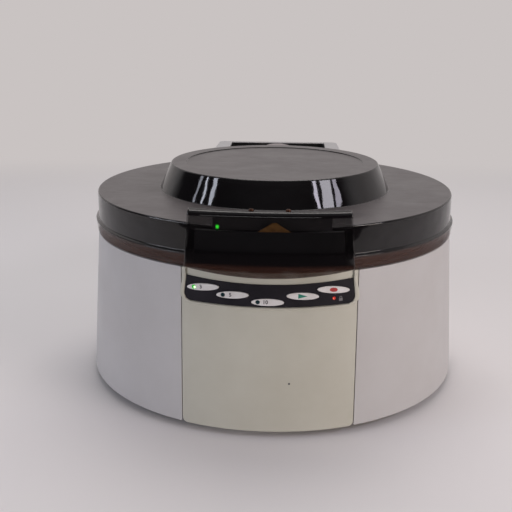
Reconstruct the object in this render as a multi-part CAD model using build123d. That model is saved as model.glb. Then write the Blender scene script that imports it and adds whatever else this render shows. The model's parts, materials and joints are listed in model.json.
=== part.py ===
from build123d import *
import math
import os

os.makedirs("parts", exist_ok=True)

# Driving dimensions, in millimetres. Heights are above the bench.
foot_height = 6.0
drum_bottom_r = 170.0
drum_top_r = 161.6
drum_top_z = 133.8
wall = 3.5
lid_bottom_z = 134.8
lid_ring_z = 169.7
lid_ring_r = 161.0
ledge_r = 163.5
ledge_z = 145.0
dome_foot_r = 105.0
dome_rim_r = 94.5
dome_top_z = 192.4
dome_recess_r = 81.0
dome_recess = 1.1
visor_top_z = 185.0
front_reach = 178.0
rear_reach = 215.0
rear_back = 213.0
rear_half_width = 70.0
rear_top_z = 178.0
panel_half_width = 68.5
seam = 0.5
deck_z = 130.0
deck_thickness = 3.0
bowl_r = 136.0
bowl_floor_z = 60.0
hinge_y = 183.0
hinge_z = 168.0
pin_r = 3.0
running = 0.05
shaft_r = 4.0
carrier_count = 8
carrier_pivot_r = 50.0
carrier_pivot_z = 146.0
carrier_r = 10.0
tube_pocket_r = 8.4
carrier_above = 20.0
carrier_below = 75.0

# The drum's axis stands this far from the middle of the whole depth, so the origin is under the middle.
axis_y = -(rear_reach - front_reach) / 2
draft = math.degrees(math.atan2(drum_bottom_r - drum_top_r, drum_top_z - foot_height))


def save(name, shape):
    """Writes one piece, moved from the drum's axis to the part's own frame."""
    export_step(Pos(0, axis_y, 0) * shape, f"parts/{name}.step")


def drum_r(z):
    """The drum's outside radius at a height."""
    return drum_top_r + (drum_bottom_r - drum_top_r) * (drum_top_z - z) / (drum_top_z - foot_height)


def box(x0, x1, y0, y1, z0, z1):
    """A block between six planes."""
    return Pos((x0 + x1) / 2, (y0 + y1) / 2, (z0 + z1) / 2) * Box(x1 - x0, y1 - y0, z1 - z0)


def rod(r, z0, z1, x=0.0, y=0.0):
    """An upright cylinder."""
    return Pos(x, y, (z0 + z1) / 2) * Cylinder(r, z1 - z0)


def tube(r_out, r_in, z0, z1, x=0.0, y=0.0):
    """An upright tube."""
    return rod(r_out, z0, z1, x, y) - rod(r_in, z0 - 1, z1 + 1, x, y)


def turned(points):
    """A body turned about the drum's axis from a closed outline of (radius, height) points."""
    return revolve(Plane.XZ * make_face(Polyline(*points, close=True)), Axis.Z)


def drum_skin(z0, z1, outer, inner):
    """A slice of the drum's wall between two heights and two offsets from its outside."""
    return turned([
        (drum_r(z0) + inner, z0),
        (drum_r(z0) + outer, z0),
        (drum_r(z1) + outer, z1),
        (drum_r(z1) + inner, z1),
    ])


def front_prism(outline):
    """A front-view outline in (x, z), run through the drum's front half."""
    return extrude(Plane.XZ * make_face(outline), 230)


def skin_plane(x, z, depth=0.0):
    """A plane on the drum's front skin, facing out, sunk by a depth."""
    r = drum_r(z)
    turn = math.asin(x / r)
    up = math.radians(draft)
    out = Vector(math.sin(turn) * math.cos(up), -math.cos(turn) * math.cos(up), math.sin(up))
    foot = Vector(x, -r * math.cos(turn), z)
    along = Vector(math.cos(turn), math.sin(turn), 0)
    return Plane(origin=foot - out * depth, x_dir=along, z_dir=out)


def screw(x, y, z_head, head_r, head_h, shank_r, shank_l):
    """A pan-head screw standing head up."""
    head = Pos(x, y, z_head + head_h / 2) * Cylinder(head_r, head_h)
    return head + rod(shank_r, z_head - shank_l, z_head, x, y)


# Keypad layout: places are (x, z) on the drum's front skin, with half the length of each key
keypad_half = 64.5
keypad_flare = 1.8
keypad_top_side_z = 127.8
keypad_top_mid_z = 125.0
keypad_low_side_z = 109.1
keypad_low_mid_z = 107.3
overlay_sink = 0.5
overlay_thickness = 1.0
recess_depth = overlay_sink + overlay_thickness
recess_margin = 0.4
key_half_high = 2.75
key_gap = 0.3
key_proud = 0.3
key_inner = 3.6
key_turn_back = 0.3
lamp_r = 1.45
lock_lamp_r = 1.2
lock_lamp_gap = 0.1
board_sink = 5.4
keys = {
    "key_3": (-51.5, 119.9, 13.3),
    "key_5": (-28.1, 115.9, 12.7),
    "key_10": (-1.0, 111.4, 12.5),
    "key_start": (25.9, 116.1, 12.6),
    "key_stop": (49.6, 120.0, 13.2),
}
timed_keys = ("key_3", "key_5", "key_10")
lamp_offset = -7.6
lock_lamp = (50.2, 113.2)


def keypad_outline(margin, top_up):
    """The keypad's sagging outline with rounded lower corners, grown by a margin."""
    half_top = keypad_half + margin
    half = half_top + keypad_flare
    top_side = keypad_top_side_z + top_up
    low_side = keypad_low_side_z - margin
    corner = 5.0
    corner_top = low_side + corner - 1
    corner_foot = low_side - 1.2
    corner_mid = low_side + 0.4
    corner_in = 1.6
    lines = [
        ThreePointArc((-half_top, top_side), (0, keypad_top_mid_z + top_up), (half_top, top_side)),
        Line((half_top, top_side), (half, corner_top)),
        ThreePointArc((half, corner_top), (half - corner_in, corner_mid), (half - corner, corner_foot)),
        ThreePointArc((half - corner, corner_foot), (0, keypad_low_mid_z - margin),
                      (corner - half, corner_foot)),
        ThreePointArc((corner - half, corner_foot), (corner_in - half, corner_mid), (-half, corner_top)),
        Line((-half, corner_top), (-half_top, top_side)),
    ]
    return Curve() + lines


def key_plane(x, z, depth):
    """A key's own plane, turned back by a share of its angle round the drum so that the row reads level."""
    turn = math.degrees(math.asin(x / drum_r(z)))
    return skin_plane(x, z, depth) * Rot(0, 0, -turn * key_turn_back)


def key_prism(x, z, half_long, grow, depth_in, depth_out):
    """An oval through the skin between two depths."""
    oval = Ellipse(half_long + grow, key_half_high + grow)
    return extrude(key_plane(x, z, depth_in) * oval, depth_in - depth_out)


def lamp_places():
    """The places of the five lamps, by name."""
    places = {name: (keys[name][0] + lamp_offset, keys[name][1]) for name in timed_keys}
    places["lock"] = lock_lamp
    return places


# Drum shell: a flared moulding, cut away for the front panel and for the way into the rear housing
way_half = 60.0
way_top_z = 126.0
shell = drum_skin(foot_height, drum_top_z, 0, -wall)
shell -= box(-panel_half_width - seam, panel_half_width + seam, -230, 0, 0, drum_top_z + 5)
shell -= box(-way_half, way_half, 0, 230, 0, way_top_z)
save("drum_shell", shell)

# Front panel: flush with the drum, its lower corners rounded, with a shallow seat for the keypad
panel_bottom_corner = 4.0
panel_height = drum_top_z - foot_height
panel_face = Pos(0, foot_height + panel_height / 2) * Rectangle(2 * panel_half_width, panel_height)
panel_face = fillet(panel_face.vertices().sort_by(Axis.Y)[:2], panel_bottom_corner)
panel = drum_skin(foot_height, drum_top_z, 0, -wall) & extrude(Plane.XZ * panel_face, 230)
seat_outline = keypad_outline(recess_margin, 12)
panel -= drum_skin(90, 150, 3, -recess_depth) & front_prism(seat_outline)
for place in keys.values():
    panel -= key_prism(*place, key_gap, 8, -3)
panel -= extrude(skin_plane(*lock_lamp, 8) * Circle(lock_lamp_r + lock_lamp_gap), 11)
save("front_panel", panel)

# Keypad overlay with an oval window for each key
overlay = drum_skin(95, 140, -overlay_sink, -recess_depth) & front_prism(keypad_outline(0, 0))
for place in keys.values():
    overlay -= key_prism(*place, key_gap, 8, -3)
overlay -= extrude(skin_plane(*lock_lamp, 8) * Circle(lock_lamp_r + lock_lamp_gap), 11)
save("keypad_overlay", overlay)

# Keys: oval caps that travel straight in; the time keys are pierced for their lamps
for name, (x, z, half_long) in keys.items():
    key = key_prism(x, z, half_long, 0, key_inner, overlay_sink - key_proud)
    if name in lamp_places():
        key -= extrude(key_plane(x, z, 8) * Pos(lamp_offset, 0) * Circle(lamp_r + key_gap), 12)
    save(name, key)

# Lamps: short lenses that stand on the keypad board and look out through the keys
lamps = {}
for name, (x, z) in lamp_places().items():
    if name == "lock":
        lens = skin_plane(x, z, board_sink) * Circle(lock_lamp_r)
        lamps[name] = extrude(lens, board_sink - overlay_sink + 0.2)
    else:
        key_x, key_z = keys[name][:2]
        lens = key_plane(key_x, key_z, board_sink) * Pos(lamp_offset, 0) * Circle(lamp_r)
        lamps[name] = extrude(lens, board_sink - 0.1)
save("lamp_lit", lamps["key_3"])
save("lamps_dark", lamps["key_5"] + lamps["key_10"])
save("lamp_lock", lamps["lock"])

# Keypad board: a bent strip behind the panel
board_outline = Polyline((-62, 107), (62, 107), (62, 124.4), (-62, 124.4), close=True)
keypad_board = drum_skin(100, 130, -board_sink, -board_sink - 1.6) & front_prism(board_outline)
for lamp in lamps.values():
    keypad_board -= lamp
save("keypad_board", keypad_board)

# Base pan: a steel floor under the drum and the rear housing
pan_z = 6.5
pan_thickness = 2.0
pan = rod(164.5, pan_z, pan_z + pan_thickness)
pan += box(1 - way_half, way_half - 1, 0, rear_back - 5, pan_z, pan_z + pan_thickness)
feet_places = [(sx * 104.0, sy * 104.0) for sx in (-1, 1) for sy in (-1, 1)]
foot_hole_r = 2.1
for x, y in feet_places:
    pan -= rod(foot_hole_r, 0, 20, x, y)
save("base_pan", pan)

# Rubber feet, each drawn up by a screw from above
foot_r = 13.0
feet = Part()
foot_screws = Part()
for x, y in feet_places:
    foot = Pos(x, y, 0) * Cone(foot_r - 1.5, foot_r, pan_z, align=(Align.CENTER, Align.CENTER, Align.MIN))
    feet += foot - rod(foot_hole_r, 2, 20, x, y)
    foot_screws += screw(x, y, pan_z + pan_thickness, 4, 2.4, 2.0, 6)
save("rubber_feet", feet)
save("foot_screws", foot_screws)

# Top deck: the ring that carries the bowl and the gasket, slotted for the latch tongue
tongue_half = 13.0
slot_front = 156.8
slot_back = 151.2
gasket_out, gasket_in = 149.6, 144.4
gasket_seat = 1.5
deck_top = deck_z + deck_thickness
deck = tube(drum_top_r - wall, bowl_r + 3.0, deck_z, deck_top)
deck -= tube(gasket_out, gasket_in, deck_top - gasket_seat, deck_top + 5)
deck -= box(-tongue_half - 1.5, tongue_half + 1.5, -slot_front, -slot_back, 100, 150)
deck_screw_angles = [22.5 + 45 * i for i in range(8)]
deck_screw_r = 154.5
for angle in deck_screw_angles:
    deck -= Rot(0, 0, angle) * rod(1.6, 100, 150, deck_screw_r)
deck &= turned([(100, 120), (drum_r(deck_z) - wall, deck_z), (drum_r(deck_top) - wall, deck_top),
                (drum_r(deck_top) - wall, 150), (100, 150)])
save("top_deck", deck)

deck_screws = Part()
for angle in deck_screw_angles:
    deck_screws += Rot(0, 0, angle) * screw(deck_screw_r, 0, deck_top, 2.6, 0.8, 1.5, 6)
save("deck_screws", deck_screws)

# Gasket: a square-backed ring with a tapering lip that the lid's rib comes down to
gasket_lip_z = deck_top + gasket_seat
gasket_top_z = deck_top + 4.4
gasket = tube(gasket_out, gasket_in, deck_top - gasket_seat, gasket_lip_z)
gasket += turned([(145.6, gasket_lip_z), (148.4, gasket_lip_z), (147.6, gasket_top_z), (146.4, gasket_top_z)])
save("lid_gasket", gasket)

# Bowl: the rotor chamber, with a flange that lies on the deck and a low collar round the shaft
bowl_wall = 2.0
bowl_corner = 14.0
flange_r = 143.6
flange_top_z = deck_top + 1.6
collar_r = 16.0
collar_top_z = bowl_floor_z + 9.0
bowl = turned([
    (collar_r, bowl_floor_z),
    (bowl_r + bowl_wall - bowl_corner, bowl_floor_z),
    (bowl_r + bowl_wall, bowl_floor_z + bowl_corner),
    (bowl_r + bowl_wall, deck_top),
    (flange_r, deck_top),
    (flange_r, flange_top_z),
    (bowl_r, flange_top_z),
    (bowl_r, bowl_floor_z + bowl_corner + 0.8),
    (bowl_r + 0.8 - bowl_corner, bowl_floor_z + bowl_wall),
    (collar_r + bowl_wall, bowl_floor_z + bowl_wall),
    (collar_r + bowl_wall, collar_top_z),
    (collar_r, collar_top_z),
])
save("bowl", bowl)

guard_r = 143.0
guard = tube(guard_r, guard_r - 2.4, bowl_floor_z + 2, deck_z)
save("guard_ring", guard)

# Motor: can, end cap, two bearings, plate, posts and rubber isolators
plate_z = 51.0
plate_thickness = 3.0
can_r = 36.0
bearing_r = 11.0
post_places = [(sx * 42.0, sy * 42.0) for sx in (-1, 1) for sy in (-1, 1)]
pan_top = pan_z + pan_thickness
cap_z = 11.0
can_z = 16.0
post_shoulder_z = 41.0
can = rod(can_r, can_z, plate_z) - rod(can_r - 3, can_z - 1, plate_z - 4)
can += tube(15, bearing_r, plate_z - 9, plate_z)
can -= rod(bearing_r, 10, 60)
save("motor_can", can)

end_cap = rod(can_r, cap_z, can_z) + rod(15, can_z, can_z + 4) - rod(bearing_r, cap_z + 2, 30) - rod(6, 5, 30)
save("motor_end_cap", end_cap)
bearings = tube(bearing_r, shaft_r + running, cap_z + 2, can_z + 4)
bearings += tube(bearing_r, shaft_r + running, plate_z - 7, plate_z)
save("bearings", bearings)

plate = rod(66, plate_z, plate_z + plate_thickness) - rod(12.5, 40, 60)
for i in range(4):
    plate -= Rot(0, 0, 90 * i) * rod(9, 40, 60, 48)
posts = Part()
isolators = Part()
for x, y in post_places:
    plate -= rod(3.2, 40, 60, x, y)
    posts += rod(5, pan_top, post_shoulder_z, x, y) + rod(3, post_shoulder_z, plate_z + 5, x, y)
    isolators += tube(9, 3, post_shoulder_z, plate_z, x, y)
save("motor_plate", plate)
save("motor_posts", posts)
save("motor_isolators", isolators)

sensor = box(9, 22, -5, 5, plate_z + plate_thickness, 58) - rod(6.5, 50, 60, 9)
save("speed_sensor", sensor)

# Rotor: shaft, armature, yoke and lock nut
yoke_z = 126.0
yoke_top = 152.0
yoke_r = 62.0
plate_top = 133.0
slot_half = 11.0
trunnion_half = slot_half + 5.5
inner_plate_r = carrier_pivot_r - carrier_r - 1.5
hub_r = 14.0
shaft_z, shaft_top_z = 12.0, 166.0
shaft = rod(shaft_r, shaft_z, shaft_top_z)
save("motor_shaft", shaft)
armature = tube(30, shaft_r, 22, 40)
for i in range(12):
    armature -= Rot(0, 0, 30 * i) * box(25, 32, -1.2, 1.2, 20, 45)
save("armature", armature)

yoke = rod(yoke_r, yoke_z, yoke_top)
for i in range(carrier_count):
    turn = Rot(0, 0, 360 / carrier_count * i)
    yoke -= turn * box(inner_plate_r, 80, -slot_half, slot_half, 100, 160)
    yoke -= turn * box(0, 80, -slot_half, slot_half, plate_top, 160)
    trunnion_seat = Rot(90, 0, 0) * Cylinder(pin_r + running, 2 * trunnion_half)
    yoke -= turn * Pos(carrier_pivot_r, 0, carrier_pivot_z) * trunnion_seat
    yoke -= turn * box(carrier_pivot_r - pin_r - running, carrier_pivot_r + pin_r + running,
                       -trunnion_half, trunnion_half, carrier_pivot_z, 160)
yoke += rod(hub_r, yoke_z - 10, yoke_top)
yoke -= rod(shaft_r, 100, 180)
save("rotor_yoke", yoke)

nut = rod(12, yoke_top, yoke_top + 8) - rod(shaft_r, 100, 180)
for i in range(6):
    nut -= Rot(0, 0, 60 * i) * rod(2.2, 140, 170, 12.6)
save("rotor_nut", nut)

# Tube carriers: cups that hang from two trunnions and swing out level
pocket_floor = 4.0
trunnion_length = 6.6
carrier_mouth_z = carrier_pivot_z + carrier_above
carrier_foot_z = carrier_pivot_z - carrier_below
for i in range(carrier_count):
    cup = rod(carrier_r, carrier_foot_z, carrier_mouth_z, carrier_pivot_r)
    cup = fillet(cup.edges().sort_by(Axis.Z)[0], 3)
    cup -= rod(tube_pocket_r, carrier_foot_z + pocket_floor, carrier_mouth_z + 1, carrier_pivot_r)
    for side in (-1, 1):
        trunnion = Rot(90, 0, 0) * Cylinder(pin_r, trunnion_length)
        trunnion_y = side * (carrier_r - 0.9 + trunnion_length / 2)
        cup += Pos(carrier_pivot_r, trunnion_y, carrier_pivot_z) * trunnion
    cup -= rod(tube_pocket_r, carrier_foot_z + pocket_floor, carrier_mouth_z + 1, carrier_pivot_r)
    save(f"tube_carrier_{i + 1}", Rot(0, 0, 360 / carrier_count * i) * cup)

# Control board, its standoffs and the power supply
board_x0, board_x1 = -150.0, -72.0
board_z = 18.0
board = box(board_x0, board_x1, -50, 50, board_z, board_z + 1.6)
board_top = board_z + 1.6
board_blocks = [
    (-145, -120, -40, -10, 14),
    (-112, -98, -35, -21, 3),
    (-90, -78, -30, 10, 6),
    (-140, -128, 8, 20, 18),
    (-112, -84, 20, 40, 2.5),
]
board_cans = [(-108, -4, 2.5), (-108, 6, 2.5), (-122, 34, 5.0), (-136, 34, 5.0)]
for x0, x1, y0, y1, height in board_blocks:
    board += box(x0, x1, y0, y1, board_top, board_top + height)
for x, y, r in board_cans:
    board += rod(r, board_top, board_top + 16, x, y)
save("control_board", board)
standoffs = Part()
for x in (board_x0 + 5, board_x1 - 5):
    for y in (-45, 45):
        standoffs += rod(3, pan_top, board_z, x, y)
save("board_standoffs", standoffs)

supply = box(72, 132, -52, 52, pan_top, 44)
for i in range(7):
    supply -= box(76, 128, -44 + 13 * i, -40 + 13 * i, 43, 46)
save("power_supply", supply)

# Rear housing: a box behind the drum, open below, with the hinge pocket in its top
rear_top_half = 67.6
pocket_half = 53.5
pocket_front = 171.0
pocket_back = 206.5
pocket_floor_z = 152.0
lid_clear_r = 165.2
rear_wall = 3.0
inlet_x, inlet_z = -28.0, 52.0
switch_x, switch_z = 30.0, 52.0


def rear_block(shrink, z0, z1, y0):
    """The housing's plan, tapering towards the back, as a block shrunk by a wall."""
    outline = FilletPolyline(
        (-rear_half_width + shrink, y0),
        (rear_half_width - shrink, y0),
        (rear_top_half - shrink, rear_back - shrink),
        (-rear_top_half + shrink, rear_back - shrink),
        radius=[0, 0, 7 - shrink, 7 - shrink],
        close=True,
    )
    return Pos(0, 0, z0) * extrude(make_face(outline), z1 - z0)


rear = rear_block(0, foot_height, rear_top_z, 130)
rear -= rear_block(rear_wall, 0, rear_top_z - rear_wall, 130) - rod(lid_clear_r + rear_wall, deck_z, 200)
rear += box(-pocket_half - rear_wall, pocket_half + rear_wall,
            pocket_front - rear_wall, pocket_back + rear_wall,
            pocket_floor_z - rear_wall, rear_top_z - 1)
rear -= box(-pocket_half, pocket_half, pocket_front, pocket_back, pocket_floor_z, 200)
arm_half = 15.5
arm_gap = 0.6
lip_front = 160.0
lip_notch_z = 175.0
rear -= box(-arm_half - arm_gap, arm_half + arm_gap, lip_front, pocket_front + 1, lip_notch_z, 200)
lid_step_z = drum_top_z + 0.4
rear -= rod(lid_clear_r, lid_step_z, 250)
rear -= turned([(0, 0), (drum_r(0), 0), (drum_r(lid_step_z), lid_step_z), (0, lid_step_z)])
pin = Pos(0, hinge_y, hinge_z) * Rot(0, 90, 0) * Cylinder(pin_r, 2 * (pocket_half + 2))
rear -= pin
rear -= box(inlet_x - 14.2, inlet_x + 14.2, 205, 225, inlet_z - 16.2, inlet_z + 16.2)
rear -= box(switch_x - 8, switch_x + 8, 205, 225, switch_z - 12, switch_z + 12)
vent_top = 132.0
vent_half = 40.0
vent_high = 3.0
for i in range(7):
    vent_z = vent_top - 2 * vent_high * i
    rear -= box(-vent_half, vent_half, 205, 225, vent_z, vent_z + vent_high)
save("rear_housing", rear)
save("hinge_pin", pin)
spacers = Part()
for side in (-1, 1):
    middle = side * (arm_half + 0.4 + pocket_half) / 2
    sleeve = Cylinder(5.5, pocket_half - arm_half - 0.4) - Cylinder(pin_r, 60)
    spacers += Pos(middle, hinge_y, hinge_z) * Rot(0, 90, 0) * sleeve
save("hinge_spacers", spacers)

# Mains inlet: a socket with three flat pins, and a slot below it for the fuse drawer
inlet_front = 186.0
socket_depth = 18.0
drawer_half = 11.0
drawer_high = 6.0
drawer_z = inlet_z - 11.5
inlet = box(inlet_x - 14, inlet_x + 14, inlet_front, rear_back, inlet_z - 16, inlet_z + 16)
inlet += box(inlet_x - 18, inlet_x + 18, rear_back, rear_reach, inlet_z - 20, inlet_z + 20)
inlet -= box(inlet_x - 11.8, inlet_x + 11.8, rear_reach - socket_depth, rear_reach + 1,
             inlet_z - 5, inlet_z + 12)
for dx, dz in ((-7, 1), (7, 1), (0, 5)):
    inlet += box(inlet_x + dx - 1, inlet_x + dx + 1, rear_reach - socket_depth, rear_reach - 3,
                 inlet_z + dz - 2, inlet_z + dz + 2)
inlet -= box(inlet_x - drawer_half - 0.3, inlet_x + drawer_half + 0.3, inlet_front + 4, rear_reach + 1,
             drawer_z - drawer_high / 2 - 0.3, drawer_z + drawer_high / 2 + 0.3)
save("mains_inlet", inlet)

# Fuse drawer: a tray with two fuse troughs that pulls straight out
drawer = box(inlet_x - drawer_half, inlet_x + drawer_half, inlet_front + 5, rear_reach,
             drawer_z - drawer_high / 2, drawer_z + drawer_high / 2)
for side in (-1, 1):
    drawer -= box(inlet_x + side * 5.5 - 2.7, inlet_x + side * 5.5 + 2.7, inlet_front + 6, rear_reach - 3,
                  drawer_z - 1.2, drawer_z + 5)
drawer -= box(inlet_x - 4, inlet_x + 4, rear_reach - 1, rear_reach + 1, drawer_z + 1.2, drawer_z + 5)
save("fuse_drawer", drawer)

# Power switch: a frame through the housing's back, and a rocker that tips about a level pin
switch_depth = 20.0
switch = box(switch_x - 8, switch_x + 8, rear_back - switch_depth, rear_back, switch_z - 12, switch_z + 12)
switch += box(switch_x - 10, switch_x + 10, rear_back, rear_reach - 0.6, switch_z - 14.5, switch_z + 14.5)
switch -= box(switch_x - 6.3, switch_x + 6.3, rear_back - 10, rear_reach + 1,
              switch_z - 10.8, switch_z + 10.8)
for side in (-1, 1):
    tab_x = switch_x + side * 4
    switch += box(tab_x - 0.4, tab_x + 0.4, rear_back - 30, rear_back - switch_depth,
                  switch_z - 3, switch_z + 3)
rocker_y = rear_back - 4.0
rocker_tilt = 7.0
rocker_face = Polyline(
    (0, -9.6), (4.2, -9.6), (3.4, 0), (4.2, 9.6), (0, 9.6), (-3.5, 3), (-3.5, -3),
    close=True,
)
rocker = extrude(Plane.YZ * make_face(rocker_face), 6, both=True)
rocker = Pos(switch_x, rocker_y, switch_z) * Rot(rocker_tilt, 0, 0) * rocker
rocker_pin = Rot(0, 90, 0) * Cylinder(1.2, 14.6)
rocker += Pos(switch_x, rocker_y, switch_z) * rocker_pin
switch -= Pos(switch_x, rocker_y, switch_z) * Rot(0, 90, 0) * Cylinder(1.2 + running, 14.8)
save("switch_body", switch)
save("power_rocker", rocker)

# Lid lock: a notched steel slide that shifts sideways over the tongue's foot, drawn by a solenoid
slide_z = 125.5
slide_thickness = 2.0
foot_top_z = 125.2
stem_half = 7.0
latch_travel = 6.0
slide = box(-26, 22, -157.2, -146, slide_z, slide_z + slide_thickness)
slide -= box(-tongue_half - 1, tongue_half + 1, -160, -150.8, 120, 130)
for shift in (0, latch_travel):
    slide_room = rod(drum_r(slide_z) - wall - 0.6, 100, 150) - rod(flange_r, 100, 150)
    slide &= Pos(-shift, 0, 0) * slide_room
save("latch_slide", slide)

latch_room_r = 154.4
coil_y = -146.2
coil_x0, coil_x1 = -56.0, -30.0
coil = box(coil_x0, coil_x1, -150.5, -138, 119, 130)
latch_room = rod(latch_room_r, 100, 150) - rod(flange_r, 100, 150)
coil &= latch_room
plunger_z = 123.0
coil -= Pos(coil_x1 - 10, coil_y, plunger_z) * Rot(0, 90, 0) * Cylinder(1.6, 22)
save("solenoid", coil)
plunger = Pos(coil_x1 + 1, coil_y, plunger_z) * Rot(0, 90, 0) * Cylinder(1.5, 16)
plunger += box(coil_x1 + 5, coil_x1 + 9, -149, -146, plunger_z - 1.5, slide_z)
save("solenoid_plunger", plunger)

interlock = box(32, 46, -148.5, -142, 117, deck_z) & latch_room
save("interlock_switch", interlock)

# Lid: one smoked moulding, turned about the drum's axis, with a grip block and hollow visor in front
rib_in, rib_out = 146.5, 148.8
rib_foot_z = deck_top + 4.8
lid_outline = [
    (158.9, lid_bottom_z),
    (162.3, lid_bottom_z),
    (ledge_r, ledge_z - 1.2),
    (ledge_r, ledge_z + 0.6),
    (lid_ring_r + 0.3, ledge_z + 1.8),
    (lid_ring_r, lid_ring_z),
    (dome_foot_r, lid_ring_z),
    (dome_rim_r, dome_top_z),
    (dome_recess_r, dome_top_z),
    (dome_recess_r - 0.5, dome_top_z - dome_recess),
    (0, dome_top_z - dome_recess),
    (0, dome_top_z - dome_recess - wall),
    (dome_rim_r - 2, dome_top_z - dome_recess - wall),
    (dome_foot_r - 2.3, lid_ring_z - wall),
    (rib_in, lid_ring_z - wall),
    (rib_in, rib_foot_z),
    (rib_out, rib_foot_z),
    (rib_out, lid_ring_z - wall),
    (lid_ring_r - wall, lid_ring_z - wall),
    (lid_ring_r - wall + 0.2, ledge_z + 3),
    (ledge_r - wall, ledge_z),
    (ledge_r - wall, ledge_z - 2),
]
corner_radii = {2: 0.6, 3: 0.6, 4: 0.8, 5: 1.2, 6: 0.8, 7: 1.6, 8: 0.3, 12: 2.0, 13: 2.0}
lid_face = make_face(Polyline(*lid_outline, close=True))
for index, radius in corner_radii.items():
    corner = lid_face.vertices().sort_by_distance((*lid_outline[index], 0))[0]
    lid_face = fillet(corner, radius)
lid = revolve(Plane.XZ * lid_face, Axis.Z)

block_low_half = 63.7
block_top_half = 60.5
block_side_z = 141.6
block_back_side = -158.9
block_back_mid = -168.0
visor_wall = 3.0


def block_front_view(shrink, z0, z1):
    """The grip block's tapering front view, shrunk by a wall."""
    slope = (block_low_half - block_top_half) / (visor_top_z - block_side_z)
    low = block_low_half - shrink + slope * (block_side_z - z0)
    high = block_low_half - shrink - slope * (z1 - block_side_z)
    return Polyline((-low, z0), (low, z0), (high, z1), (-high, z1), close=True)


def block_plan(front, back_side, back_mid, z0, z1):
    """The block's plan between a bowed front and a bowed back edge, as a slab between two heights."""
    half = block_low_half + 2
    side = -front_reach + 6.1 + front
    lines = [
        ThreePointArc((-half, side), (0, front - front_reach), (half, side)),
        Line((half, side), (half, back_side)),
        ThreePointArc((half, back_side), (0, back_mid), (-half, back_side)),
        Line((-half, back_side), (-half, side)),
    ]
    return Pos(0, 0, z0) * extrude(make_face(Curve() + lines), z1 - z0)


smile = Curve() + [
    ThreePointArc((-block_low_half, block_side_z), (0, lid_bottom_z), (block_low_half, block_side_z)),
    Line((block_low_half, block_side_z), (80, block_side_z)),
    Line((80, block_side_z), (80, 100)),
    Line((80, 100), (-80, 100)),
    Line((-80, 100), (-80, block_side_z)),
    Line((-80, block_side_z), (-block_low_half, block_side_z)),
]
block = block_plan(0, -140, -140.5, 120, lid_ring_z) - rod(lid_ring_r - 1, 100, 200)
block += block_plan(0, block_back_side, block_back_mid, lid_ring_z - wall, visor_top_z)
block &= front_prism(block_front_view(0, 130, visor_top_z))
block -= front_prism(smile)
block_edges = block.edges().filter_by(lambda edge: edge.center().Z > visor_top_z - 0.1)
block = fillet(block_edges, 1.1)
hollow = block_plan(visor_wall, -140, -140.5, 100, lid_ring_z - visor_wall) - rod(lid_ring_r, 90, 200)
hollow += block_plan(visor_wall, block_back_side - visor_wall, block_back_mid - visor_wall, 150,
                     visor_top_z - visor_wall)
hollow &= front_prism(block_front_view(visor_wall, 100, visor_top_z - visor_wall))
lid += block
lid -= hollow
window = box(-57.4, 57.4, -lid_ring_r - 4, -140, 144, lid_ring_z - wall)
lid -= window - rod(lid_ring_r - wall - 1.5, 100, 200)
save("lid_shell", lid)

# Latch housing: the black block behind the smoked front, with the tongue that hangs from it
housing_tab_half = 14.0
housing_tab_foot_z = 138.6
housing_foot_z = 144.4
housing = block_plan(visor_wall + 0.8, -140, -140.5, housing_foot_z, lid_ring_z - wall - 0.3)
housing -= rod(150.5, 90, 200)
housing &= front_prism(block_front_view(visor_wall + 3.6, 140, 180))
step = block_plan(visor_wall + 0.8, block_back_side - visor_wall - 0.5, block_back_mid - visor_wall - 0.5,
                  160, lid_ring_z - 0.2)
housing += step & front_prism(block_front_view(visor_wall + 3.6, 140, 180))
for side in (-1, 1):
    housing -= box(side * 34 - 17, side * 34 + 17, -167, -153.5, 140, 162)
housing += box(-housing_tab_half, housing_tab_half, -172, -166,
               housing_tab_foot_z, housing_foot_z + 1.6)
tongue = box(-tongue_half, tongue_half, -154.5, -152, 134.5, 150)
tongue += box(-stem_half, stem_half, -154.5, -152, foot_top_z - 1, 135)
tongue += box(-tongue_half, tongue_half, -154.5, -152, foot_top_z - 5, foot_top_z)
housing -= tongue
save("latch_housing", housing)
save("latch_tongue", tongue)

# Bracket and status lamp: both stand on the latch housing's step and show through the visor
step_z = lid_ring_z - 0.2
bracket_top_z = 176.4
bracket_face = Polyline(
    (-8.6, step_z), (16, step_z), (5.2, bracket_top_z), (2.2, bracket_top_z),
    close=True,
)
bracket = front_prism(bracket_face) & box(-20, 20, -173.6, -172.4, 160, 190)
save("latch_bracket", bracket)
status_lamp_r = 1.3
status_lamp_high = 5.8
save("status_lamp", rod(status_lamp_r, step_z, step_z + status_lamp_high, -38.5, -169.8))

# Hinge arm: a gooseneck that rises from the lid's ring, over the housing's lip, to a barrel on the pin
arm_foot_top_z = 172.9
arm_side = Polyline(
    (136, lid_ring_z), (136, arm_foot_top_z), (151, arm_foot_top_z), (161.5, 181.6), (178, 181.6),
    (188.5, 173), (186, 164), (178, 165), (174.5, 175.8), (162.6, 175.8), (158.4, 171.6), (158.4, lid_ring_z),
    close=True,
)
arm_bends = [
    ((151, arm_foot_top_z), 5),
    ((161.5, 181.6), 5),
    ((178, 181.6), 5),
    ((162.6, 175.8), 1.2),
    ((174.5, 175.8), 1.2),
]
arm_face = make_face(arm_side)
for point, radius in arm_bends:
    arm_face = fillet(arm_face.vertices().sort_by_distance((*point, 0))[0], radius)
arm = extrude(Plane.YZ * arm_face, arm_half, both=True)
crown_top_z = 181.4
crown_side_z = 177.8
crown = Curve() + [
    ThreePointArc((-arm_half, crown_side_z), (0, crown_top_z), (arm_half, crown_side_z)),
    Line((arm_half, crown_side_z), (arm_half, 140)),
    Line((arm_half, 140), (-arm_half, 140)),
    Line((-arm_half, 140), (-arm_half, crown_side_z)),
]
arm &= extrude(Plane.XZ.offset(-230) * make_face(crown), 230)
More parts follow.
